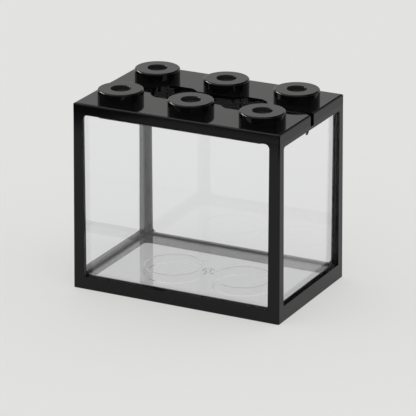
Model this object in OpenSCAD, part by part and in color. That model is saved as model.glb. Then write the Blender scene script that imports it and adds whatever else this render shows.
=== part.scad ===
// Small stackable desktop fish tank: a black open cage, a clear drop-in tank and a
// cover made of two identical halves with hollow studs and a long feeding opening.
// Millimetres. X runs along the length, Y from front to back, Z up. The origin is on
// the table, under the middle of the footprint.

/* [Overall] */
// Length of the cage, measured at the top edge
body_l = 120.4; // [116:0.2:126]
// Depth of the cage, measured at the top edge
body_w = 78; // [76:0.2:82]
// Height from the table to the flat of the cover
body_h = 103.6; // [90:0.2:130]
// How far each side leans out from the top edge down to the table
draft = 0.7; // [0.3:0.1:1]

/* [Cage] */
// Width of the corner posts on the front and rear faces
post_front = 5.9; // [5:0.1:8]
// Width of the corner posts on the end faces
post_side = 4.9; // [4.4:0.1:7]
// Height of the bottom rail on the front and rear faces
rail_front = 7.1; // [6.4:0.1:8]
// Height of the bottom rail on the end faces
rail_side = 8.6; // [8:0.1:12]
// Depth of the cage bar that shows under the cover on the end faces
bar_side = 2.9; // [2.6:0.1:5]
// Depth of the cage bar that shows under the cover on the front and rear faces
bar_front = 1.1; // [1:0.1:2.5]
// Corner radius of the front and rear windows
window_r = 2.5; // [1:0.1:4]
// Corner radius of the end windows
window_side_r = 1.6; // [0.8:0.1:4]
// Radius of the outer edge of each sill
sill_r = 2.2; // [0.5:0.1:2.3]
// Thickness of the posts at the top edge
wall = 2.6; // [2.5:0.1:3]
// Width of the ledge that carries the tank
ledge_w = 2.4; // [1.6:0.1:2.4]
// Thickness of that ledge
ledge_t = 2; // [1.5:0.1:3]

/* [Clear tank] */
// Gap between the tank and the cage, on each side
tank_gap = 0.2; // [0.1:0.05:0.4]
// Wall thickness of the tank
tank_wall = 2; // [1.6:0.1:2.4]
// Thickness of the tank's floor
floor_t = 2; // [1.6:0.1:3]
// Outer radius of the two tubes under the floor
tube_r = 16.6; // [15:0.1:16.8]
// Wall thickness of those tubes
tube_wall = 1.4; // [1:0.1:2]
// Gap between the tubes and the table
tube_lift = 0.9; // [0.5:0.1:1.5]
// Radius of the moulding gate boss in the middle of the floor
gate_r = 3.4; // [2.5:0.1:3.6]
// Corner radius of the tank's upright edges
tank_r = 2.4; // [2.2:0.1:4]
// Width of the round-bottomed hose notch in the rim of each end wall
hose_w = 4; // [3:0.1:6]
// Depth of that notch below the rim
hose_h = 5.6; // [4:0.1:8]

/* [Cover] */
// Gap between the two halves of the cover
split = 4; // [2:0.1:5]
// Depth of the outer edge of the cover
skirt_h = 5; // [4:0.1:7]
// Thickness of the flat of the cover
plate_t = 2.2; // [1.8:0.1:2.4]
// Radius of the two round ends of the feeding opening
feed_r = 12.4; // [12:0.1:13]
// Distance from the middle line to the flat side of each round end
feed_flat = 11.2; // [10.6:0.1:11.4]
// Half width of the opening between its round ends
feed_waist = 7.6; // [6:0.1:8]
// Radius that softens the corners between the split and the opening
feed_corner_r = 4; // [2:0.1:5]
// Radius that softens the corners of the narrow middle
waist_r = 3; // [2:0.1:4]
// Depth of the collar under the round ends, counted from the flat of the cover
collar_h = 9.2; // [8.4:0.1:10]
// Depth of the collar along the narrow middle
collar_mid_h = 7.4; // [6:0.1:8]
// Thickness of the collar
collar_t = 1.4; // [1:0.1:1.6]
// Radius of the long edges of the cover
edge_r = 1.1; // [0.4:0.1:1.2]
// Depth of the notch below the split, counted from the flat of the cover
notch_h = 6.4; // [5.8:0.1:6.8]

/* [Studs] */
// Distance between stud centres, both ways
stud_pitch = 41.45; // [41.2:0.05:41.7]
// Radius of a stud
stud_r = 12.3; // [11:0.1:12.4]
// Height of a stud above the flat of the cover
stud_h = 5.4; // [4:0.1:5.4]
// Radius of the dimple in a stud
dimple_r = 5.3; // [4:0.1:6]
// Depth of the dimple
dimple_h = 2.2; // [1.5:0.1:2.6]
// Edge radius of a stud
stud_edge = 0.9; // [0.4:0.1:1]

/* [Hidden] */
$fn = 96;

// Half sizes of the straight well inside the cage
well_x = body_l / 2 - wall;
well_y = body_w / 2 - wall;
// Plane where the cover sits on the cage
seat_z = body_h - skirt_h;
// Cage lip that stands up inside the cover
lip_t = 1.2;
lip_z = body_h - plate_t - 0.3;
lip_gap = 0.15;
// Levels inside the cage
ledge_z = stud_h + 0.1;
floor_z = ledge_z + floor_t;
tank_top = seat_z - 1.6;
// Half sizes of the tank
tank_x = well_x - tank_gap;
tank_y = well_y - tank_gap;
inner_x = tank_x - tank_wall;
inner_y = tank_y - tank_wall;
inner_r = tank_r - tank_wall / 2;
// Windows
side_top = seat_z - bar_side;
front_top = seat_z - bar_front;
front_half = body_l / 2 - post_front;
side_half = body_w / 2 - post_side;
side_low_r = 0.8;
// Rounding of the cage's foot, and steps in each rounded profile
foot_r = 0.6;
arc_steps = 6;
// Stud hollow, seen from below: a ring around a central boss
stud_wall = 1.8;
hollow_r = stud_r - stud_wall;
boss_r = dimple_r + 1.9;
hollow_z = body_h + stud_h - stud_wall;
boss_z = body_h + stud_h - dimple_h - stud_wall;
// Locating ribs under the cover, inside the tank
rib_t = 1.2;
rib_gap = 0.3;
rib_x = inner_x - rib_gap;
rib_y = inner_y - rib_gap;
rib_drop = 1.4;
rib_low = tank_top - rib_drop;
rib_end = 8;
rib_from = max(split, hose_w) / 2 + 1;
// Shallow recess in the gate boss
gate_h = 0.8;
gate_dimple = 1.6;
// Overlap used so that cuts pass their faces
cut = 1;
far = 200;
// Overlap of two arcs that run into each other, so that they cross instead of just touching
blend = 0.005;

function lean(z) = draft * (1 - z / body_h);
function half_x(z) = body_l / 2 + lean(z);
function half_y(z) = body_w / 2 + lean(z);

// Quarter arc of points about [cx, cy], from angle a0, counter-clockwise
function quarter(cx, cy, r, a0) =
    [for (i = [0:arc_steps]) [cx + r * cos(a0 + 90 * i / arc_steps), cy + r * sin(a0 + 90 * i / arc_steps)]];

// Upright section from z0 to z1, half widths h0 and h1, with rounded corners
function section_points(h0, h1, z0, z1, r0, r1) = concat(
    quarter(h1 - r1, z1 - r1, r1, 0),
    quarter(-h1 + r1, z1 - r1, r1, 90),
    quarter(-h0 + r0, z0 + r0, r0, 180),
    quarter(h0 - r0, z0 + r0, r0, 270));

// Solid block with leaning sides and rounded long edges
module envelope(z0, z1, r0, r1) {
    intersection() {
        rotate([90, 0, 0])
            linear_extrude(far, center = true)
                polygon(section_points(half_x(z0), half_x(z1), z0, z1, r0, r1));
        rotate([90, 0, 90])
            linear_extrude(far, center = true)
                polygon(section_points(half_y(z0), half_y(z1), z0, z1, r0, r1));
    }
}

// Flat rectangle centred on the origin with round corners
module round_rect(hx, hy, r) {
    square([2 * hx, 2 * (hy - r)], center = true);
    square([2 * (hx - r), 2 * hy], center = true);
    for (sx = [-1, 1], sy = [-1, 1])
        translate([sx * (hx - r), sy * (hy - r)])
            circle(r);
}

module well(hx, hy, r, z0, z1) {
    translate([0, 0, z0])
        linear_extrude(z1 - z0)
            round_rect(hx, hy, r);
}

// Window outline with different radii at the top and at the sill
module window(half, z0, z1, r_top, r_low) {
    difference() {
        translate([-half, z0])
            square([2 * half, z1 - z0]);
        for (s = [-1, 1]) {
            corner_fill(s * half, z1, -s, -1, r_top);
            corner_fill(s * half, z0, -s, 1, r_low);
        }
    }
}

// What a rounded corner leaves standing: a square less a quarter circle
module corner_fill(x, z, dx, dz, r) {
    difference() {
        translate([x + dx * r / 2, z + dz * r / 2])
            square(r, center = true);
        translate([x + dx * r, z + dz * r])
            circle(r);
    }
}

// Rounds the outer edge of a sill: a square less a quarter circle, along X
module sill_edge(length, y, z) {
    translate([0, y, z])
        rotate([90, 0, 90])
            linear_extrude(length, center = true)
                difference() {
                    translate([-sill_r, -sill_r])
                        square(sill_r + cut);
                    translate([-sill_r, -sill_r])
                        circle(sill_r);
                }
}

module frame_shell() {
    difference() {
        union() {
            envelope(0, seat_z, foot_r, 0.01);
            well(well_x + lip_t, well_y + lip_t, 1, seat_z - cut, lip_z);
        }
        // Well for the tank, and the open bottom inside the ledge
        well(well_x, well_y, tank_r, ledge_z, body_h + cut);
        well(well_x - ledge_w, well_y - ledge_w, tank_r, -cut, ledge_z + cut);
        well(well_x, well_y, tank_r, -cut, ledge_z - ledge_t);
        // Front and rear windows
        rotate([90, 0, 0])
            linear_extrude(far, center = true)
                window(front_half, rail_front, front_top, window_r, window_r);
        // End windows
        rotate([90, 0, 90])
            linear_extrude(far, center = true)
                window(side_half, rail_side, side_top, window_side_r, side_low_r);
        // Rounded outer edges of the sills
        for (a = [0, 180])
            rotate([0, 0, a]) {
                sill_edge(2 * (front_half - window_r), half_y(rail_front - sill_r), rail_front);
                rotate([0, 0, 90])
                    sill_edge(2 * (side_half - side_low_r), half_x(rail_side - sill_r), rail_side);
            }
        // Notches under the split of the cover
        translate([-far / 2, -split / 2, body_h - notch_h])
            cube([far, split, notch_h + cut]);
    }
}

module outer_frame() {
    color([0.03, 0.03, 0.035])
        frame_shell();
}

module floor_tube(x) {
    translate([x, 0, tube_lift])
        difference() {
            cylinder(h = ledge_z - tube_lift + cut, r = tube_r);
            translate([0, 0, -cut])
                cylinder(h = ledge_z - tube_lift + cut, r = tube_r - tube_wall);
        }
}

module gate_boss() {
    translate([0, 0, ledge_z - gate_h])
        difference() {
            cylinder(h = gate_h + cut, r = gate_r);
            translate([0, 0, -cut])
                cylinder(h = gate_h + cut, r = gate_dimple);
        }
}

// Notch through both end walls, under the split of the cover
module hose_notch() {
    low = tank_top - hose_h;
    rotate([90, 0, 90])
        linear_extrude(far, center = true) {
            translate([0, low + hose_w / 2])
                circle(hose_w / 2);
            translate([-hose_w / 2, low + hose_w / 2])
                square([hose_w, hose_h]);
        }
}

module clear_tank() {
    color([0.85, 0.87, 0.9, 0.3])
        union() {
            difference() {
                well(tank_x, tank_y, tank_r, ledge_z, tank_top);
                well(inner_x, inner_y, inner_r, floor_z, tank_top + cut);
                hose_notch();
            }
            for (s = [-1, 1])
                floor_tube(s * stud_pitch / 2);
            gate_boss();
        }
}

// Corner between a straight edge at y = -half and a round end of the opening, softened by r
module soft_corner(s, radius, half, r) {
    reach = radius + r;
    drop = half + r;
    cx = sqrt(reach * reach - drop * drop);
    difference() {
        polygon([[0, 0], [s * cx, 0], [s * cx, -drop]]);
        translate([s * cx, -drop])
            circle(r + blend);
    }
}

// Front half of the feeding opening, or of the outside of its collar where grow is more than 0
module feed_outline(grow) {
    radius = feed_r + grow;
    flat = feed_flat + grow;
    for (s = [-1, 1])
        translate([s * stud_pitch / 2, 0]) {
            intersection() {
                circle(radius);
                translate([-radius, -flat])
                    square([2 * radius, flat + radius]);
            }
            soft_corner(s, radius, split / 2 + grow, feed_corner_r - grow);
            soft_corner(-s, radius, feed_waist + grow, waist_r - grow);
        }
    translate([-stud_pitch / 2, -feed_waist - grow])
        square([stud_pitch, feed_waist + grow]);
}

// Collar that hangs from the plate along the opening, deeper under the round ends
module feed_collar() {
    low = body_h - collar_h;
    side = split / 2 + feed_corner_r;
    end_x = stud_pitch / 2 + sqrt(pow(feed_r + feed_corner_r, 2) - side * side);
    mid_x = stud_pitch / 2 - feed_r;
    difference() {
        translate([0, 0, low])
            linear_extrude(collar_h - plate_t / 2)
                intersection() {
                    difference() {
                        feed_outline(collar_t);
                        feed_outline(0);
                    }
                    translate([-end_x, -body_w / 2])
                        square([2 * end_x, body_w / 2 - split / 2]);
                }
        translate([-mid_x, -body_w / 2, low - cut])
            cube([2 * mid_x, body_w, collar_h - collar_mid_h + cut]);
    }
}

module stud() {
    rotate_extrude() {
        square([stud_r - stud_edge, stud_h]);
        square([stud_r, stud_h - stud_edge]);
        intersection() {
            translate([stud_r - stud_edge, stud_h - stud_edge])
                circle(stud_edge);
            square([stud_r, stud_h]);
        }
    }
}

// Hollow under a stud, cut from below the plate
module stud_hollow() {
    plate_low = body_h - plate_t - cut;
    translate([0, 0, plate_low])
        cylinder(h = boss_z - plate_low, r = hollow_r);
    translate([0, 0, boss_z - cut / 2])
        difference() {
            cylinder(h = hollow_z - boss_z + cut / 2, r = hollow_r);
            translate([0, 0, -cut])
                cylinder(h = hollow_z - boss_z + 3 * cut, r = boss_r);
        }
}

module stud_places() {
    for (i = [-1:1])
        translate([i * stud_pitch, -stud_pitch / 2, 0])
            children();
}

// Ribs that drop inside the tank along the front and at both ends
module locating_ribs() {
    top = body_h - plate_t + cut / 2;
    translate([-(rib_x - rib_end), -rib_y, rib_low])
        cube([2 * (rib_x - rib_end), rib_t, top - rib_low]);
    for (s = [-1, 1])
        translate([s * (rib_x - rib_t / 2) - rib_t / 2, -rib_y + rib_end, rib_low])
            cube([rib_t, rib_y - rib_end - rib_from, top - rib_low]);
}

// One half of the cover, in the place of the front half
module lid_half() {
    difference() {
        union() {
            intersection() {
                envelope(seat_z, body_h, 0.01, edge_r);
                translate([-far / 2, -far, 0])
                    cube([far, far - split / 2, far]);
            }
            translate([0, 0, body_h - cut / 2])
                stud_places()
                    translate([0, 0, cut / 2])
                        stud();
        }
        // Space under the plate, inside the skirt
        well(well_x + lip_t + lip_gap, well_y + lip_t + lip_gap, 1, seat_z - cut, body_h - plate_t);
        stud_places()
            stud_hollow();
        stud_places()
            translate([0, 0, body_h + stud_h - dimple_h])
                cylinder(h = dimple_h + cut, r = dimple_r);
        translate([0, 0, seat_z - cut])
            linear_extrude(skirt_h + 2 * cut)
                feed_outline(0);
    }
    feed_collar();
    locating_ribs();
}

module front_lid() {
    color([0.03, 0.03, 0.035])
        lid_half();
}

// The rear half is the same moulding, turned half round
module rear_lid() {
    color([0.03, 0.03, 0.035])
        rotate([0, 0, 180])
            lid_half();
}

outer_frame();
clear_tank();
front_lid();
rear_lid();
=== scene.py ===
# %% [markdown]
# # A desktop fish tank in building-block style
#
# The real thing is four plastic mouldings: a black cage, a clear tank that drops into it,
# and a black cover made of two identical halves. Everything is glossy or clear, so its look
# comes from clean edges and from what they mirror. This lesson models the four mouldings
# with true rounded edges and then builds the two plastics and the bright studio round them.

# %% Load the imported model
import math

import bmesh
import bpy
from mathutils import Matrix, Vector


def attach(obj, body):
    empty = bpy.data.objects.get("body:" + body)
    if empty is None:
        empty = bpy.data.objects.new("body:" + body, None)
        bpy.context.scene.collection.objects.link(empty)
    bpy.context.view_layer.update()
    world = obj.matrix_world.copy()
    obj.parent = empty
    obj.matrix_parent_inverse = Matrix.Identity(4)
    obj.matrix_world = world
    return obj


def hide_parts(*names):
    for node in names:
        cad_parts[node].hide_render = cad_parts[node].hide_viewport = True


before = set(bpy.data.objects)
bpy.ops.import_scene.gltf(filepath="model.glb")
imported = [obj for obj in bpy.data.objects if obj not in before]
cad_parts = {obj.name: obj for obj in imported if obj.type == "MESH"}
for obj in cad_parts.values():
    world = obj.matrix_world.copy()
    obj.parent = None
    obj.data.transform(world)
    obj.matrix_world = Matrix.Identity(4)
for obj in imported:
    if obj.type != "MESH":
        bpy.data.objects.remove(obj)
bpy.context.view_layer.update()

# %% [markdown]
# ## Sizes
#
# A moulded part is drawn in millimetres, so the shapes are too, and each mesh is shrunk to
# metres when it is finished. The cage's sides lean out towards the table: that is the draft
# that lets a moulding leave its steel mould. The sizes come from the same drawing as the
# solids of the frame. A few that only the looks need, such as the thickness of the clear
# walls, were set afterwards against the photograph, inside the same outline.

# %% Name the main sizes, in millimetres
MM = 0.001
LENGTH, DEPTH, HEIGHT = 120.4, 78.0, 103.6
DRAFT = 0.7
SKIRT = 5.0
SEAT = HEIGHT - SKIRT
WALL = 2.6
WELL = Vector((LENGTH / 2 - WALL, DEPTH / 2 - WALL))
STUD_PITCH = 41.45


def lean(z):
    """How far a side has leant out from the top edge at height z."""
    return DRAFT * (1 - z / HEIGHT)


print("the foot is", round(2 * lean(0), 2), "mm longer than the top edge")

# %% [markdown]
# ## A small workshop
#
# Every moulding starts as a block. bmesh's create_cube gives it, bevel rounds chosen edges,
# and a Boolean modifier takes one shape out of another or welds two together, as a mould's
# cores do. The helpers below are those three moves. A Boolean works most exactly on large
# numbers, which is one more reason to stay in millimetres until the end.

# %% Make a block
def block(low, high, lean_low=0.0, lean_high=0.0):
    """A box between two corners. Its lower and upper faces may stand out sideways."""
    bm = bmesh.new()
    bmesh.ops.create_cube(bm, size=1.0)
    low, high = Vector(low), Vector(high)
    bmesh.ops.scale(bm, vec=high - low, verts=bm.verts)
    bmesh.ops.translate(bm, vec=(low + high) / 2, verts=bm.verts)
    for v in bm.verts:
        out = lean_low if v.co.z < (low.z + high.z) / 2 else lean_high
        v.co.x += math.copysign(out, v.co.x)
        v.co.y += math.copysign(out, v.co.y)
    return bm


# %% [markdown]
# An edge is chosen by a test, a small function that says yes or no. So the same line rounds
# the upright edges of any block, and a rounding never depends on the order of the edges.

# %% Choose edges and round them
HAIR = 0.01      # two places closer than this count as one
MOSTLY = 0.9     # the share of an edge's length that has to run along an axis


def runs_along(axis):
    """A test for edges that run along one axis: 0 is x, 1 is y and 2 is z."""
    def test(edge):
        along = edge.verts[1].co - edge.verts[0].co
        return abs(along[axis]) > MOSTLY * along.length
    return test


along_x, along_y, upright = runs_along(0), runs_along(1), runs_along(2)


def level_at(z):
    """A test for edges that lie flat at one height."""
    return lambda edge: all(abs(v.co.z - z) < HAIR for v in edge.verts)


def middle(edge):
    return (edge.verts[0].co + edge.verts[1].co) / 2


def round_edges(bm, choose, radius, steps=5):
    """Round the edges that the test picks, as a cutter with that nose radius would."""
    edges = [e for e in bm.edges if choose(e)]
    bmesh.ops.bevel(
        bm, geom=edges, offset=radius, offset_type="OFFSET", affect="EDGES",
        segments=steps, profile=0.5, material=-1, clamp_overlap=True)
    return len(edges)


trial = block((-1, -1, 0), (1, 1, 2))
print("a trial block:", round_edges(trial, upright, 0.2), "upright edges rounded, now",
      len(trial.faces), "faces")
trial.free()

# %% [markdown]
# A Boolean needs objects, so a bmesh is first made one. The exact solver is slower than the
# fast one and never leaves a torn seam, which a glossy surface would show.

# %% Cut and weld shapes
WELD = 0.0001    # points closer than this are merged


def solid(bm, name):
    """Turn a bmesh into an object, with its faces pointing outwards."""
    bmesh.ops.remove_doubles(bm, verts=bm.verts, dist=WELD)
    bmesh.ops.recalc_face_normals(bm, faces=bm.faces)
    mesh = bpy.data.meshes.new(name)
    bm.to_mesh(mesh)
    bm.free()
    obj = bpy.data.objects.new(name, mesh)
    bpy.context.scene.collection.objects.link(obj)
    return obj


def bake_modifiers(obj):
    """Keep what the modifiers made as the object's own mesh."""
    bpy.context.view_layer.update()
    graph = bpy.context.evaluated_depsgraph_get()
    made = bpy.data.meshes.new_from_object(obj.evaluated_get(graph))
    obj.modifiers.clear()
    old, obj.data = obj.data, made
    bpy.data.meshes.remove(old)


def combine(obj, operation, tools):
    """Cut the tools from obj, or weld them to it, and throw the tools away."""
    for tool in tools:
        joint = obj.modifiers.new(operation.lower(), "BOOLEAN")
        joint.operation = operation
        joint.solver = "EXACT"
        joint.object = tool
        bake_modifiers(obj)
        mesh = tool.data
        bpy.data.objects.remove(tool)
        bpy.data.meshes.remove(mesh)


# %% [markdown]
# ## The cage
#
# The cage is one black moulding: four L-shaped posts on a ring of rails, with a thin bar
# under the cover and a lip that the cover sits over. It could be put together from bars,
# but then each joint would show in the gloss. It is made the way its mould is: a leaning
# block with rounded corners, hollowed by a core for the tank, with four windows cut through
# the walls. The tank stands on a ledge inside the rails.

# %% Block out the cage
PAST = 1.0       # how far a cutter runs past what it cuts, or a weld into what it joins
LEDGE_TOP, LEDGE_THICK, LEDGE_WIDE = 5.5, 2.0, 1.0
LIP_THICK, LIP_TOP, LIP_CORNER = 1.2, HEIGHT - 2.5, 1.6
WELL_CORNER = 2.4
CAGE_EDGE, FOOT_EDGE = 0.8, 0.3
half = Vector((LENGTH / 2, DEPTH / 2))
bm = block((-half.x, -half.y, 0), (half.x, half.y, SEAT), lean(0), lean(SEAT))
round_edges(bm, upright, CAGE_EDGE)
round_edges(bm, level_at(0), FOOT_EDGE, 3)
cage = solid(bm, "cage")


def core(half_x, half_y, z0, z1, radius, steps=8):
    """A core with rounded upright corners, for a well, a lip or a tank."""
    bm = block((-half_x, -half_y, z0), (half_x, half_y, z1))
    round_edges(bm, upright, radius, steps)
    return solid(bm, "core")


combine(cage, "UNION", [
    core(WELL.x + LIP_THICK, WELL.y + LIP_THICK, SEAT - PAST, LIP_TOP, LIP_CORNER)])
combine(cage, "DIFFERENCE", [
    core(WELL.x, WELL.y, LEDGE_TOP, HEIGHT, WELL_CORNER),
    core(WELL.x - LEDGE_WIDE, WELL.y - LEDGE_WIDE, -PAST, LEDGE_TOP + PAST, WELL_CORNER),
    core(WELL.x, WELL.y, -PAST, LEDGE_TOP - LEDGE_THICK, WELL_CORNER)])
print("cage blank:", len(cage.data.polygons), "faces")

# %% [markdown]
# The front and rear windows have softly rounded corners. Those in the ends are rounded above
# and nearly sharp at the sill, as the photograph shows. Each window is cut by one long
# cutter that goes through both walls at once, so that the pair stays in line.

# %% Cut the windows and the hose notches
FAR = 100.0      # well outside the object
POST_FRONT, POST_END = 5.9, 4.9
RAIL_FRONT, RAIL_END = 7.1, 8.6
BAR_FRONT, BAR_END = 0.9, 2.9
WINDOW_CORNER, END_CORNER, END_SILL_CORNER = 2.5, 1.6, 0.8
SILL_SLOPE = math.radians(8)
SILL_RISE = WALL * math.tan(SILL_SLOPE)
FRONT_WINDOW = (RAIL_FRONT + SILL_RISE, SEAT - BAR_FRONT)
END_WINDOW = (RAIL_END + SILL_RISE, SEAT - BAR_END)
bm = block((-half.x + POST_FRONT, -FAR, FRONT_WINDOW[0]),
           (half.x - POST_FRONT, FAR, FRONT_WINDOW[1]))
round_edges(bm, along_y, WINDOW_CORNER, 8)
front_cutter = solid(bm, "front and rear windows")
bm = block((-FAR, -half.y + POST_END, END_WINDOW[0]), (FAR, half.y - POST_END, END_WINDOW[1]))
round_edges(bm, lambda e: along_x(e) and middle(e).z > HEIGHT / 2, END_CORNER, 6)
round_edges(bm, lambda e: along_x(e) and middle(e).z < HEIGHT / 2, END_SILL_CORNER, 4)
end_cutter = solid(bm, "end windows")
SPLIT, NOTCH = 4.0, 6.4
bm = block((-FAR, -SPLIT / 2, HEIGHT - NOTCH), (FAR, SPLIT / 2, HEIGHT + PAST))
notch_cutter = solid(bm, "notches")
combine(cage, "DIFFERENCE", [front_cutter, end_cutter, notch_cutter])
print("cage with windows:", len(cage.data.polygons), "faces")

# %% [markdown]
# The sills fall a little towards the outside. A level sill would mirror the bright wall
# behind the tank. A sill that falls by 8 degrees mirrors the dark above that wall, and that
# is what draws the black band along the end sill in the photograph. A thin bar, turned about
# the sill's inner edge, planes the slope. The reveals beside the windows show how thick the
# walls are there: one more core, between the rails and the upper bar, thins them by 1 mm.

# %% Slope the sills and thin the walls
SILL_BAR = 0.45
SILL_AT_FRONT, SILL_AT_END = 7, 8    # heights at which the leaning faces are met
THINNER = 1.0
THIN_LOW, THIN_HIGH = 9.4, SEAT - 1.7


def sill_cutter(length, out, z, turn):
    """What a sill loses, on the side that the turn faces."""
    bm = block((-length / 2, -2 * WALL, 0), (length / 2, 0, SILL_BAR))
    bmesh.ops.rotate(bm, verts=bm.verts, matrix=Matrix.Rotation(SILL_SLOPE, 3, "X"))
    bmesh.ops.translate(bm, verts=bm.verts, vec=(0, WALL - out, z))
    bmesh.ops.rotate(bm, verts=bm.verts, matrix=Matrix.Rotation(math.radians(turn), 3, "Z"))
    return solid(bm, "sill")


front_run, end_run = 2 * (half.x - POST_FRONT), 2 * (half.y - POST_END)
front_out, end_out = half.y + lean(SILL_AT_FRONT), half.x + lean(SILL_AT_END)
sills = [sill_cutter(front_run, front_out, FRONT_WINDOW[0], turn) for turn in (0, 180)]
sills += [sill_cutter(end_run, end_out, END_WINDOW[0], turn) for turn in (90, 270)]
print("planed", len(sills), "sills,", round(SILL_RISE, 2), "mm down to their outer edge")
combine(cage, "DIFFERENCE", sills)
combine(cage, "DIFFERENCE", [
    core(WELL.x + THINNER, WELL.y + THINNER, THIN_LOW, THIN_HIGH, WELL_CORNER + THINNER)])

# %% [markdown]
# Every corner that is left is only broken, as a polished mould leaves it. Smooth shading by
# itself would bend the light over the large flats, because the normal at a corner is a mean
# of the faces round it. A Weighted Normal modifier lets the large faces decide, so a flat
# mirrors like a flat and only the narrow bevels turn the light. It treats areas that differ
# by less than its threshold as equal. The threshold is in square metres, and its default of
# 0.01 is larger than any face here, so a tiny one is set.

# %% Break edges, and hand over a finished piece
CORNER, CREASE = math.radians(40), math.radians(35)
SAME_AREA = 0.05 * MM * MM
CAGE_BREAK = 0.25


def break_edges(obj, width, steps=2):
    """Take the sharpness off every edge that is still a corner."""
    soften = obj.modifiers.new("broken edges", "BEVEL")
    soften.width = width
    soften.segments = steps
    soften.limit_method = "ANGLE"
    soften.angle_limit = CORNER
    soften.use_clamp_overlap = True
    soften.miter_outer = "MITER_ARC"
    bake_modifiers(obj)


def dress(obj, name, body, node):
    """Shrink a finished shape to metres, shade it and let it stand for its CAD node."""
    obj.name = obj.data.name = name
    obj.data.transform(Matrix.Scale(MM, 4))
    obj.data.shade_smooth()
    obj.data.set_sharp_from_angle(angle=CREASE)
    flat = obj.modifiers.new("flat faces stay flat", "WEIGHTED_NORMAL")
    flat.keep_sharp = True
    flat.weight, flat.thresh = 100, SAME_AREA
    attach(obj, body)
    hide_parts(node)
    low = [min(v.co[i] for v in obj.data.vertices) / MM for i in range(3)]
    high = [max(v.co[i] for v in obj.data.vertices) / MM for i in range(3)]
    print(name, "faces", len(obj.data.polygons), "from", [round(c, 2) for c in low],
          "to", [round(c, 2) for c in high])


break_edges(cage, CAGE_BREAK)
dress(cage, "cage", "frame", "outer_frame")

# %% [markdown]
# ## The clear tank
#
# The tank is a box with thin walls. Seen through clear plastic, a wrong thickness or a
# missing inner face shows at once, so it is a true solid: an outer block, less an inner core
# with a rounded foot. The walls are 1.3 mm thick. With 2 mm, total reflection inside the end
# wall drew a dark strip beside the post that the photograph doesn't have.

# %% Mould the tank's outside and its core
TANK_GAP = 0.2
TANK_WALL, TANK_FLOOR = 1.3, 6.9
RIM_DROP = 1.6
TANK_CORNER, TANK_FOOT = 2.4, 0.7
CORE_CORNER, CORE_FOOT = 0.7, 0.5
TANK = WELL - Vector((TANK_GAP, TANK_GAP))
TANK_TOP = SEAT - RIM_DROP
bm = block((-TANK.x, -TANK.y, LEDGE_TOP), (TANK.x, TANK.y, TANK_TOP))
round_edges(bm, upright, TANK_CORNER, 8)
round_edges(bm, level_at(LEDGE_TOP), TANK_FOOT, 4)
tank = solid(bm, "tank")
bm = block((-TANK.x + TANK_WALL, -TANK.y + TANK_WALL, TANK_FLOOR),
           (TANK.x - TANK_WALL, TANK.y - TANK_WALL, HEIGHT))
round_edges(bm, upright, CORE_CORNER, 4)
round_edges(bm, level_at(TANK_FLOOR), CORE_FOOT, 3)
inner_core = solid(bm, "inner core")
print("tank blank:", len(tank.data.polygons), "faces")

# %% [markdown]
# Two tubes and a small boss stand under the floor. The tubes pass between the studs of a
# tank below, and the boss is where the plastic was injected. A tube starts as a disc that is
# raised and inset at both ends; the end faces go, and a bridge joins the two rims inside.
# Each end wall has a round-bottomed notch for a hose.

# %% Add the tubes, the boss and the hose notches
TUBE_R, TUBE_WALL, TUBE_LOW = 16.6, 1.4, 0.9
GATE_R, GATE_HOLE, GATE_H = 3.4, 1.6, 0.8
ROOT = 0.8       # how deep the tubes and the boss run into the floor
HOSE_W, HOSE_H = 4.0, 5.2
TANK_BREAK = 0.2


def points(geometry):
    """The vertices in what a bmesh operator returns."""
    return [g for g in geometry if isinstance(g, bmesh.types.BMVert)]


def ring(x, outer, inner, low, high, sides=96):
    """A short tube that stands on the plane z = low."""
    bm = bmesh.new()
    bmesh.ops.create_circle(bm, cap_ends=True, segments=sides, radius=outer)
    raised = bmesh.ops.extrude_face_region(bm, geom=bm.faces[:])["geom"]
    bmesh.ops.translate(bm, vec=(0, 0, high - low), verts=points(raised))
    ends = [f for f in bm.faces if len(f.verts) == sides]
    bmesh.ops.inset_individual(bm, faces=ends, thickness=outer - inner)
    ends = [f for f in bm.faces if len(f.verts) == sides]
    rims = [f.edges[:] for f in ends]
    bmesh.ops.delete(bm, geom=ends, context="FACES_ONLY")
    bmesh.ops.bridge_loops(bm, edges=rims[0] + rims[1])
    bmesh.ops.translate(bm, vec=(x, 0, low), verts=bm.verts)
    return solid(bm, "ring")


tubes = [ring(side * STUD_PITCH / 2, TUBE_R, TUBE_R - TUBE_WALL, TUBE_LOW, LEDGE_TOP + ROOT)
         for side in (-1, 1)]
gate = ring(0, GATE_R, GATE_HOLE, LEDGE_TOP - GATE_H, LEDGE_TOP + ROOT, 48)
combine(tank, "UNION", tubes + [gate])
bm = block((-FAR, -HOSE_W / 2, TANK_TOP - HOSE_H), (FAR, HOSE_W / 2, HEIGHT))
round_edges(bm, lambda e: along_x(e) and middle(e).z < TANK_TOP, HOSE_W / 2 - HAIR, 8)
combine(tank, "DIFFERENCE", [inner_core, solid(bm, "hose notch")])
break_edges(tank, TANK_BREAK)
dress(tank, "tank", "tank", "clear_tank")

# %% [markdown]
# ## The cover
#
# Both halves of the cover come from one mould. A half is a plate whose inner edge follows the
# feeding opening: a straight split, two round ends that are flattened towards the studs, and
# a narrower middle. The outline is drawn as a path: straight runs, and arcs that are swept
# by spinning the last point about a centre. That keeps each arc tangent to the next, which a
# bevel on a coarse circle could not. The collar under the opening follows the same path a
# little further out, so the path is a function.

# %% Draw runs and arcs
def straight(bm, start, x, y):
    """A straight run from the last point to a new one."""
    end = bm.verts.new((x, y, 0))
    bm.edges.new((start, end))
    return end


def sweep(bm, start, centre, degrees, steps):
    """Spin the last point about a centre. Returns the end of the arc."""
    spun = bmesh.ops.spin(bm, geom=[start], cent=(*centre, 0), axis=(0, 0, 1),
                          angle=math.radians(degrees), steps=steps)
    return points(spun["geom_last"])[0]


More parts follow.
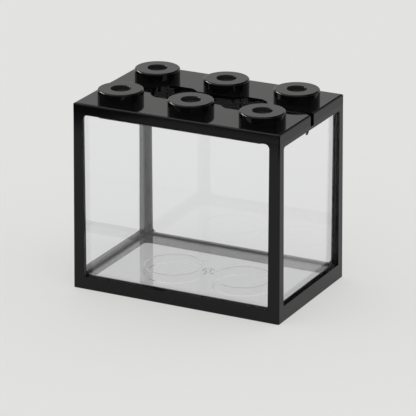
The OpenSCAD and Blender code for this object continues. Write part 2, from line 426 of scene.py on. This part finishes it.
# %% Work out the edge of the feeding opening
FEED_R, FEED_FLAT, FEED_WAIST = 12.4, 11.2, 7.6
SPLIT_CORNER, WAIST_CORNER = 4.0, 3.0
END_STEPS, CORNER_STEPS = 16, 8
feed_x = STUD_PITCH / 2


def corner_arc(half_gap, radius):
    """Where the centre of a softening arc lies from a round end, and at what angle they touch."""
    drop = half_gap + radius
    across = math.sqrt((FEED_R + radius) ** 2 - drop ** 2)
    return across, drop, math.degrees(math.atan2(drop, across))


at_split = corner_arc(SPLIT / 2, SPLIT_CORNER)
at_waist = corner_arc(FEED_WAIST, WAIST_CORNER)
collar_end = feed_x + at_split[0]


def opening_edge(bm, point, grow):
    """Follow the front side of the opening from its left end to its right end."""
    radius = FEED_R + grow
    flat = math.degrees(math.asin((FEED_FLAT + grow) / radius))
    flat_end = radius * math.cos(math.radians(flat))
    for x, left, right in ((-feed_x, at_split, at_waist), (feed_x, at_waist, at_split)):
        point = sweep(bm, point, (x - left[0], -left[1]), left[2] - 90, CORNER_STEPS)
        point = sweep(bm, point, (x, 0), flat - left[2], END_STEPS)
        point = straight(bm, point, x + flat_end, -FEED_FLAT - grow)
        point = sweep(bm, point, (x, 0), flat - right[2], END_STEPS)
        point = sweep(bm, point, (x + right[0], -right[1]), right[2] - 90, CORNER_STEPS)
        if x < 0:
            point = straight(bm, point, feed_x - at_waist[0], -FEED_WAIST - grow)
    return point


print("the opening is", round(2 * collar_end, 1), "mm long with its softened corners")

# %% Close the outline of half a cover
bm = bmesh.new()
first = bm.verts.new((-half.x, -SPLIT / 2, 0))
point = straight(bm, first, -collar_end, -SPLIT / 2)
point = opening_edge(bm, point, 0)
for x, y in ((half.x, -SPLIT / 2), (half.x, -half.y), (-half.x, -half.y)):
    point = straight(bm, point, x, y)
bm.edges.new((point, first))
outline = bmesh.ops.contextual_create(bm, geom=bm.edges[:])["faces"]
print("outline of half a cover:", len(bm.verts), "points,", len(outline), "face")

# %% [markdown]
# The outline is raised to the depth of the skirt. The three outer edges get the large radius
# that draws the dark line round the photographed cover, and the edges along the split only
# a small one. A long bevel strip takes the normals of its mitred corners along its whole
# length, which washes that dark line out, so three cuts near the corners keep the mitres
# short. The upright corners are rounded by keeping only what lies inside a block with
# rounded corners.

# %% Raise the plate
LONG_EDGE, SPLIT_EDGE, COVER_CORNER = 1.1, 0.25, 0.6
MITRE = 1.5      # how far from a corner the cuts lie
STEEP = 1.2      # edges that turn by more than this many radians
NEARBY = 0.1     # how far from the opening's flats an edge may lie


def raise_face(bm, faces, low, high):
    """Extrude a flat outline and set it between two levels."""
    raised = bmesh.ops.extrude_face_region(bm, geom=faces)["geom"]
    bmesh.ops.translate(bm, vec=(0, 0, high - low), verts=points(raised))
    bmesh.ops.translate(bm, vec=(0, 0, low), verts=bm.verts)
    bmesh.ops.recalc_face_normals(bm, faces=bm.faces)


def on_outside(edge):
    at = middle(edge)
    return abs(abs(at.x) - half.x) < HAIR or abs(at.y + half.y) < HAIR


def on_opening(edge):
    nearby = middle(edge).y > -FEED_FLAT - NEARBY
    return nearby and len(edge.link_faces) == 2 and abs(edge.calc_face_angle()) > STEEP


at_top = level_at(HEIGHT)
raise_face(bm, outline, SEAT, HEIGHT)
round_edges(bm, lambda e: at_top(e) and on_outside(e), LONG_EDGE, 6)
round_edges(bm, lambda e: at_top(e) and on_opening(e), SPLIT_EDGE, 3)
for cut in ((-half.x + MITRE, 0, 0), (half.x - MITRE, 0, 0), (0, -half.y + MITRE, 0)):
    bmesh.ops.bisect_plane(bm, geom=bm.verts[:] + bm.edges[:] + bm.faces[:],
                           plane_co=cut, plane_no=cut)
lid = solid(bm, "half a cover")
combine(lid, "INTERSECT", [core(half.x, half.y, SEAT - PAST, HEIGHT + PAST, COVER_CORNER, 5)])
print("plate:", len(lid.data.polygons), "faces")

# %% Hollow the plate, which leaves the skirt
PLATE = 2.2
SKIRT_GAP = 0.15
skirt_in = WELL + Vector((LIP_THICK + SKIRT_GAP,) * 2)
under_plate = core(skirt_in.x, skirt_in.y, SEAT - PAST, HEIGHT - PLATE, LIP_CORNER, 6)
combine(lid, "DIFFERENCE", [under_plate])
print("plate and skirt:", len(lid.data.polygons), "faces")

# %% [markdown]
# A collar hangs from the plate all along the opening. It stiffens the edge, keeps water from
# splashing out, and is why the opening looks black in the photograph. It is a closed path
# again: along the edge, and back a little further out.

# %% Hang the collar
COLLAR_H, COLLAR_MID_H, COLLAR_T = 9.2, 7.4, 1.4
bm = bmesh.new()
inside = bm.verts.new((-collar_end, -SPLIT / 2, 0))
outside = straight(bm, inside, -collar_end, -SPLIT / 2 - COLLAR_T)
inside = opening_edge(bm, inside, 0)
outside = opening_edge(bm, outside, COLLAR_T)
bm.edges.new((inside, outside))
band = bmesh.ops.contextual_create(bm, geom=bm.edges[:])["faces"]
raise_face(bm, band, HEIGHT - COLLAR_H, HEIGHT - PLATE / 2)
collar = solid(bm, "collar")
mid_x = feed_x - FEED_R
under_middle = block((-mid_x, -half.y, HEIGHT - COLLAR_H - PAST),
                     (mid_x, 0, HEIGHT - COLLAR_MID_H))
combine(collar, "DIFFERENCE", [solid(under_middle, "under the middle")])
combine(lid, "UNION", [collar])
print("with the collar:", len(lid.data.polygons), "faces")

# %% [markdown]
# A stud is a disc that is raised, inset and sunk again for its dimple. Its rim has the
# radius that catches the light at the left. Underneath it is hollow round a short boss, so
# that the plastic has one thickness everywhere and doesn't sink as it cools.

# %% Make a disc with a pocket
def stepped_disc(x, radius, low, high, pocket_r, pocket_floor, sides=96):
    """A disc from low to high with a round pocket sunk in its top."""
    def top_face():
        return [f for f in bm.faces
                if len(f.verts) == sides and f.calc_center_median().z > HAIR]

    bm = bmesh.new()
    bmesh.ops.create_circle(bm, cap_ends=True, segments=sides, radius=radius)
    up = bmesh.ops.extrude_face_region(bm, geom=bm.faces[:])["geom"]
    bmesh.ops.translate(bm, vec=(0, 0, high - low), verts=points(up))
    bmesh.ops.inset_individual(bm, faces=top_face(), thickness=radius - pocket_r)
    down = bmesh.ops.extrude_discrete_faces(bm, faces=top_face())["faces"]
    bmesh.ops.translate(bm, vec=(0, 0, pocket_floor - high), verts=list(down[0].verts))
    bmesh.ops.translate(bm, vec=(x, -STUD_PITCH / 2, low), verts=bm.verts)
    return bm


def rim(x, radius, z):
    """A test for the edges of one circle of a disc."""
    centre = Vector((x, -STUD_PITCH / 2, z))

    def test(edge):
        return all(abs((v.co - centre).length - radius) < 2 * HAIR
                   and abs(v.co.z - z) < HAIR for v in edge.verts)
    return test


# %% Raise the studs and hollow them from below
STUD_R, STUD_H, STUD_EDGE = 12.3, 5.4, 0.9
DIMPLE_R, DIMPLE_H, DIMPLE_EDGE = 5.3, 2.2, 0.35
STUD_WALL, BOSS_WALL = 1.8, 1.9
STUD_TOP = HEIGHT + STUD_H
studs, hollows = [], []
for i in (-1, 0, 1):
    x = i * STUD_PITCH
    bm = stepped_disc(x, STUD_R, HEIGHT - PAST, STUD_TOP, DIMPLE_R, STUD_TOP - DIMPLE_H)
    round_edges(bm, rim(x, STUD_R, STUD_TOP), STUD_EDGE, 5)
    round_edges(bm, rim(x, DIMPLE_R, STUD_TOP), DIMPLE_EDGE, 3)
    studs.append(solid(bm, "stud"))
    bm = stepped_disc(x, STUD_R - STUD_WALL, HEIGHT - PLATE - PAST, STUD_TOP - STUD_WALL,
                      DIMPLE_R + BOSS_WALL, STUD_TOP - DIMPLE_H - STUD_WALL)
    hollows.append(solid(bm, "stud hollow"))
combine(lid, "UNION", studs)
combine(lid, "DIFFERENCE", hollows)
print("with studs:", len(lid.data.polygons), "faces")

# %% [markdown]
# Thin ribs under the plate drop inside the tank's rim and keep the half in place. Then the
# half is finished, and a copy turned half round is the rear half.

# %% Add the ribs and turn out both halves
RIB, RIB_DROP, RIB_ROOT = 1.2, 1.4, 0.5
RIB_IN, RIB_GAP = 2.0, 0.3       # the tank's wall in the drawing, and the play beside it
END_GAP, SPLIT_GAP = 8.0, 1.0    # how far the ribs keep from the corners and the split
RIB_LOW, RIB_TOP = TANK_TOP - RIB_DROP, HEIGHT - PLATE + RIB_ROOT
rib_x, rib_y = TANK.x - RIB_IN - RIB_GAP, TANK.y - RIB_IN - RIB_GAP
long_rib = block((-rib_x + END_GAP, -rib_y, RIB_LOW), (rib_x - END_GAP, -rib_y + RIB, RIB_TOP))
ribs = [solid(long_rib, "rib")]
for side in (-1, 1):
    near, far = sorted((side * rib_x, side * (rib_x - RIB)))
    short_rib = block((near, -rib_y + END_GAP, RIB_LOW), (far, -SPLIT / 2 - SPLIT_GAP, RIB_TOP))
    ribs.append(solid(short_rib, "rib"))
combine(lid, "UNION", ribs)
rear = bpy.data.objects.new("rear", lid.data.copy())
bpy.context.scene.collection.objects.link(rear)
rear.data.transform(Matrix.Rotation(math.pi, 4, "Z"))
dress(lid, "front_cover", "front_cover", "front_lid")
dress(rear, "rear_cover", "rear_cover", "rear_lid")

# %% [markdown]
# ## Shader maths as Python
#
# A finish is a small calculation that runs at every point of the surface. Written as Python
# it reads like one: the class below wraps a shader value, and each operator adds the Math
# node that it stands for. Any other node comes from one method, which sets the node up
# first and then its sockets.

# %% Wrap shader values
class Signal:
    """One value in a shader. Python's operators add its Math nodes."""

    def __init__(self, tree, socket):
        self.tree, self.socket = tree, socket

    def calculate(self, operation, *values):
        node = self.tree.nodes.new("ShaderNodeMath")
        node.operation = operation
        for socket, value in zip(node.inputs, values):
            if isinstance(value, Signal):
                self.tree.links.new(value.socket, socket)
            else:
                socket.default_value = value
        return Signal(self.tree, node.outputs[0])

    def __add__(self, other):
        return self.calculate("ADD", self, other)

    def __radd__(self, other):
        return self.calculate("ADD", other, self)

    def __sub__(self, other):
        return self.calculate("SUBTRACT", self, other)

    def __rsub__(self, other):
        return self.calculate("SUBTRACT", other, self)

    def __mul__(self, other):
        return self.calculate("MULTIPLY", self, other)

    def __rmul__(self, other):
        return self.calculate("MULTIPLY", other, self)


# %% Start a node tree and add nodes to it
class Finish:
    """The node tree of one material or of the world."""

    def __init__(self, owner):
        owner.use_nodes = True
        self.tree = owner.node_tree
        self.tree.nodes.clear()

    def add(self, kind, settings=None, sockets=None, output=0):
        """Add a node: first its settings, then values or links for its sockets."""
        node = self.tree.nodes.new("ShaderNode" + kind)
        for name, value in (settings or {}).items():
            setattr(node, name, value)
        for name, value in (sockets or {}).items():
            if isinstance(value, Signal):
                self.tree.links.new(value.socket, node.inputs[name])
            else:
                node.inputs[name].default_value = value
        return Signal(self.tree, node.outputs[output]) if len(node.outputs) else None

    def split(self, vector):
        """The x, y and z of a vector."""
        return [self.add("SeparateXYZ", sockets={"Vector": vector}, output=axis)
                for axis in range(3)]

    def blend(self, share, first, second):
        """Mix two colours: share 0 is the first, share 1 the second."""
        return self.add("MixRGB", {"blend_type": "MIX"}, {
            "Fac": share, "Color1": first, "Color2": second})


def coat(pieces, material):
    """Give pieces one material and nothing else."""
    for piece in pieces:
        piece.data.materials.clear()
        piece.data.materials.append(material)
    print(material.name, "on", [piece.name for piece in pieces])


# %% [markdown]
# ## Black moulded plastic
#
# The cage and the cover are black styrene plastic from a polished mould. Nearly all that
# the eye gets is the mirror image of the room, weak where the surface is seen straight on
# and strong at a flat angle. The colour is almost nothing. Over a hand's width the gloss
# drifts a little, where the plastic flowed and cooled, and hairline rubs from wiping cross
# it. Both go into the roughness, and a very shallow bump keeps the mirror from being ideal.
# The dimples in the studs are matt, and their colour is painted a lighter grey, painted light
# that stands in for the light they show. A mask finds them: Wrap repeats one stud's place
# along the row, and the squared distance from the stud's axis does the rest.

# %% Build the black plastic
DIMPLE_MASK = (28.3e-6, 29e-6)       # just outside the dimple's radius, in square metres
DARK_FLOW, PALE_FLOW = (0.0018, 0.0018, 0.0020, 1), (0.0034, 0.0033, 0.0035, 1)
# painted light: a lighter grey for the dimples, in place of the light they show
DIMPLE_PAINTED_LIGHT = (0.018, 0.018, 0.018, 1)


def dimple_mask(finish, place):
    """1 inside the dimples of the studs and 0 outside them."""
    across, back, _ = finish.split(place)
    across = across.calculate("WRAP", across, STUD_PITCH * MM / 2, -STUD_PITCH * MM / 2)
    back = back.calculate("ABSOLUTE", back) - STUD_PITCH * MM / 2
    return finish.add("MapRange", sockets={
        "Value": across * across + back * back, "From Min": DIMPLE_MASK[0],
        "From Max": DIMPLE_MASK[1], "To Min": 1.0, "To Max": 0.0})


def black_plastic(name, gloss, drift, ior):
    material = bpy.data.materials.new(name)
    finish = Finish(material)
    place = finish.add("TexCoord", output="Object")
    flow = finish.add("TexNoise", sockets={"Vector": place, "Scale": 28.0, "Detail": 3.0})
    rubs_place = finish.add("Mapping", sockets={
        "Vector": place, "Rotation": (0.2, 0.1, 0.6), "Scale": (40.0, 900.0, 900.0)})
    rubs = finish.add("TexNoise", sockets={"Vector": rubs_place, "Scale": 1.0, "Detail": 2.0})
    rub_mask = finish.add("MapRange", sockets={
        "Value": rubs, "From Min": 0.6, "From Max": 0.75, "To Min": 0.0, "To Max": 1.0})
    grain = finish.add("TexNoise", sockets={"Vector": place, "Scale": 420.0, "Detail": 2.0})
    in_dimple = dimple_mask(finish, place)
    rough = gloss + (flow - 0.5) * drift + rub_mask * 0.02 + in_dimple * 0.4
    shade = finish.blend(flow, DARK_FLOW, PALE_FLOW)
    # painted light: the dimples get a lighter grey base colour in place of the light they show
    shade = finish.blend(in_dimple, shade, DIMPLE_PAINTED_LIGHT)
    bump = finish.add("Bump", sockets={"Strength": 0.02, "Distance": 0.0002, "Height": grain})
    shader = finish.add("BsdfPrincipled", sockets={
        "Base Color": shade, "Roughness": rough, "IOR": ior, "Normal": bump})
    finish.add("OutputMaterial", sockets={"Surface": shader})
    return material


coat((lid, rear), black_plastic("polished black plastic", 0.06, 0.03, 1.28))
coat((cage,), black_plastic("black cage plastic", 0.10, 0.05, 1.33))

# %% [markdown]
# ## Clear moulded plastic
#
# The tank is a true solid with true walls, so its plastic may bend light as the real one
# does: its index is 1.49, and it lets everything through. That brings the veil of reflection
# that grows where a wall is seen at a flat angle, and the bright and dark lines in its
# edges, with nothing drawn by hand. Clear plastic is never quite even: its faint blue tint
# drifts where the melt flowed, and hairline rubs from wiping dull the gloss a very little.

# %% Build the clear plastic
def clear_plastic(name):
    material = bpy.data.materials.new(name)
    finish = Finish(material)
    place = finish.add("TexCoord", output="Object")
    flow = finish.add("TexNoise", sockets={"Vector": place, "Scale": 35.0, "Detail": 4.0})
    tint = finish.blend(flow, (0.991, 0.993, 1.0, 1), (0.985, 0.987, 1.0, 1))
    rubs_place = finish.add("Mapping", sockets={
        "Vector": place, "Rotation": (0.1, 0.3, 0.4), "Scale": (30.0, 700.0, 700.0)})
    rubs = finish.add("TexNoise", sockets={"Vector": rubs_place, "Scale": 1.0, "Detail": 2.0})
    rough = finish.add("MapRange", sockets={
        "Value": rubs, "From Min": 0.62, "From Max": 0.75, "To Min": 0.0, "To Max": 0.03})
    surface = finish.add("BsdfPrincipled", sockets={
        "Base Color": tint, "Roughness": rough, "IOR": 1.49, "Transmission Weight": 1.0})
    finish.add("OutputMaterial", sockets={"Surface": surface})
    return material


coat((tank,), clear_plastic("clear plastic"))

# %% [markdown]
# ## The studio
#
# The object stands on a pale table in a bright tent. What the black plastic mirrors matters
# as much as the light, so the world answers each kind of ray for itself:
#
# - Camera rays see the plain background.
# - Rays through the clear plastic see it up to 23 degrees. Above that it is dark for them,
#   with a weak light at the upper left, which gives the veil in the tank's upper corners.
# - Mirror rays see the tent: a bright wall behind the object up to 23 degrees and dark above
#   it, a light overhead, a weak one in front, and a bright strip at the left, from 26 to 36
#   degrees. The wall's upper edge draws the dark line along the cover's edges and keeps the
#   fronts black, and the strip draws the small highlights on the rims of the studs.
# - All other light is even and white from all sides, so that a colour renders as written.
#
# The zones are soft steps over the direction of a ray. A direction has length 1, so its
# height is the sine of its elevation, and 0.385 to 0.425 is 23 to 25 degrees up.

# %% Describe the zones of the tent
world = bpy.data.worlds.new("tent")
bpy.context.scene.world = world
tent = Finish(world)


def ramp(finish, value, low, high, at_low=0.0, at_high=1.0):
    """A soft step from one level to another."""
    return finish.add("MapRange", {"interpolation_type": "SMOOTHSTEP"}, {
        "Value": value, "From Min": low, "From Max": high, "To Min": at_low, "To Max": at_high})


def zone(finish, value, low, low_full, high_full, high):
    """A soft step up and a soft step down again."""
    return ramp(finish, value, low, low_full) * ramp(finish, value, high_full, high, 1.0, 0.0)


ray = tent.add("TexCoord")           # in a world, the first output is the ray's direction
to_right, to_back, to_top = tent.split(ray)
wall = ramp(tent, to_back, -0.05, 0.25) * 0.74 + 0.02
under_edge = ramp(tent, to_top, 0.385, 0.425, 1.0, 0.0)
overhead = ramp(tent, to_top, 0.72, 0.76) * ramp(tent, to_right, 0.34, 0.40, 1.0, 0.0)
overhead = overhead * zone(tent, to_back, -0.30, -0.20, 0.15, 0.25)
front = ramp(tent, to_back, -0.10, -0.02, 1.0, 0.0) * ramp(tent, to_top, 0.0, 0.05)
upper_left = ramp(tent, to_top, 0.46, 0.52) * ramp(tent, to_right, -0.35, -0.20, 1.0, 0.0)
strip = zone(tent, to_top, 0.44, 0.47, 0.56, 0.60) * ramp(tent, to_right, -0.80, -0.74, 1.0, 0.0)
print("the tent has", len(tent.tree.nodes), "nodes for its zones")

# %% Give each kind of ray its own tent
BACKGROUND = (0.765, 0.765, 0.752, 1)
WHITE, TENT_WHITE = (1, 1, 1, 1), (1, 1, 0.985)
DARK = 0.02
OVERHEAD_LIGHT, FRONT_LIGHT, LEFT_LIGHT, STRIP_LIGHT = 2.5, 0.5, 0.3, 30.0
SEEN_DARK, SEEN_LEFT = 0.03, 0.3
mirrored = wall * under_edge + DARK + overhead * OVERHEAD_LIGHT + front * FRONT_LIGHT
mirrored = mirrored + upper_left * LEFT_LIGHT + strip * STRIP_LIGHT
seen_sky = ramp(tent, to_top, 0.385, 0.425, 1.0, SEEN_DARK) + upper_left * SEEN_LEFT


def scaled(colour, level):
    return tent.add("VectorMath", {"operation": "SCALE"}, {0: colour, "Scale": level})


def background(colour):
    return tent.add("Background", sockets={"Color": colour, "Strength": 1.0})


shown = background(WHITE)
for kind_of_ray, colour in (("Is Glossy Ray", scaled(TENT_WHITE, mirrored)),
                            ("Is Transmission Ray", scaled(BACKGROUND[:3], seen_sky)),
                            ("Is Camera Ray", BACKGROUND)):
    is_kind = tent.add("LightPath", output=kind_of_ray)
    shown = tent.add("MixShader", sockets={0: is_kind, 1: shown, 2: background(colour)})
tent.add("OutputWorld", sockets={"Surface": shown})
print("and", len(tent.tree.nodes), "nodes in all")

# %% [markdown]
# The table is a plain matt plane in the background's colour, so its far edge can't be seen.
# Part of its light is its own, which keeps the shadow of the cage as pale as in the
# photograph. Mirror rays see the bright table only near the object and behind it.

# %% Lay the table
TABLE_HALF = 4.0
bm = bmesh.new()
bmesh.ops.create_grid(bm, x_segments=1, y_segments=1, size=TABLE_HALF)
mesh = bpy.data.meshes.new("table")
bm.to_mesh(mesh)
bm.free()
table = bpy.data.objects.new("table", mesh)
bpy.context.scene.collection.objects.link(table)
print("the table is", 2 * TABLE_HALF, "m wide")

# %% Finish the table
OWN_LIGHT = 0.6
UNLIT = (0.02, 0.02, 0.02, 1)
cloth = bpy.data.materials.new("pale table")
finish = Finish(cloth)
place = finish.add("TexCoord", output="Object")
_, to_back, _ = finish.split(place)
reach = finish.add("VectorMath", {"operation": "LENGTH"}, {0: place}, output="Value")
# painted light: mirror rays see the table painted bright near the object and behind it, and
# painted dark elsewhere, a painted falloff of light towards the front
near = ramp(finish, reach, 0.345, 0.358, 1.0, 0.0) * ramp(finish, to_back, -0.318, -0.312)
lit = near + (1 - near) * ramp(finish, to_back, 0.18, 0.26)
share = 1 - finish.add("LightPath", output="Is Glossy Ray") * (1 - lit)
colour = finish.blend(share, UNLIT, BACKGROUND)
matt = finish.add("BsdfDiffuse", sockets={"Color": colour})
glow = finish.add("Emission", sockets={"Color": colour, "Strength": 1.0})
surface = finish.add("MixShader", sockets={0: OWN_LIGHT, 1: matt, 2: glow})
finish.add("OutputMaterial", sockets={"Surface": surface})
coat((table,), cloth)

# %% [markdown]
# ## The camera
#
# The photograph was taken from the right front, 27 degrees round and 20 degrees up, with a
# long lens from 1.7 m away. These numbers come from fitting the edges of the model to the
# edges in the photograph.

# %% Place the camera
AZIMUTH, ELEVATION, DISTANCE = math.radians(26.887), math.radians(19.791), 1.6925
TARGET = Vector((-0.000473, 0, 0.04205))
camera = bpy.data.objects.new("camera", bpy.data.cameras.new("camera"))
bpy.context.scene.collection.objects.link(camera)
camera.data.sensor_width = 36
camera.data.lens = 274.6
camera.data.clip_end = 20
away = Vector((math.sin(AZIMUTH) * math.cos(ELEVATION),
               -math.cos(AZIMUTH) * math.cos(ELEVATION), math.sin(ELEVATION)))
camera.location = TARGET + away * DISTANCE
camera.rotation_euler = away.to_track_quat("Z", "Y").to_euler()
bpy.context.scene.camera = camera
bpy.context.scene.view_settings.view_transform = "Standard"
print("camera at", [round(c, 4) for c in camera.location])
